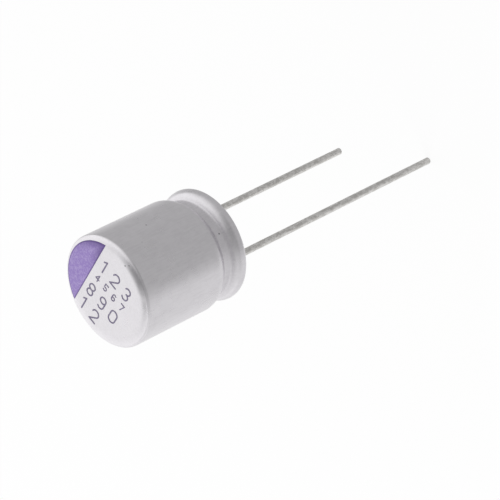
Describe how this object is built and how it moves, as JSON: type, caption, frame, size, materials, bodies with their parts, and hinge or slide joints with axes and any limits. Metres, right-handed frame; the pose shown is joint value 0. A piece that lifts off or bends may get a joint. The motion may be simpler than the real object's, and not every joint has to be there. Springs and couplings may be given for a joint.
{
  "type": "radial electrolytic capacitor",
  "caption": "Round aluminium can with a printed closed end, a rolled groove, a rubber-sealed mouth and two unequal wire leads.",
  "frame": {"origin": "on the seating plane, which is the lowest face of the curled rim, midway between the two leads and on the can's axis", "axes": "+Z along the can's axis towards the closed printed end; the leads point along -Z; +X along the lead pitch, from the short negative lead to the long positive one"},
  "size_m": [0.01, 0.01, 0.0368],
  "materials": {
    "can": "satin, drawn",
    "violet_ink": "thin printed ink",
    "grey_ink": "thin printed ink",
    "bung_rubber": "matte",
    "tinned_wire": "tinned, slightly mottled",
    "tab_metal": "bright",
    "etched_foil": "etched, dull",
    "plain_foil": "plain rolled",
    "paper": "soaked paper",
    "tape": "thin tape"
  },
  "bodies": {
    "root": {"case": "can", "polarity_mark": "violet_ink", "rating_print": "grey_ink", "seal": "bung_rubber", "anode_lead": "tinned_wire", "cathode_lead": "tinned_wire", "anode_tab": "tab_metal", "cathode_tab": "tab_metal", "anode_foil": "etched_foil", "cathode_foil": "plain_foil", "inner_separator": "paper", "outer_separator": "paper", "winding_tape": "tape"}
  },
  "joints": []
}
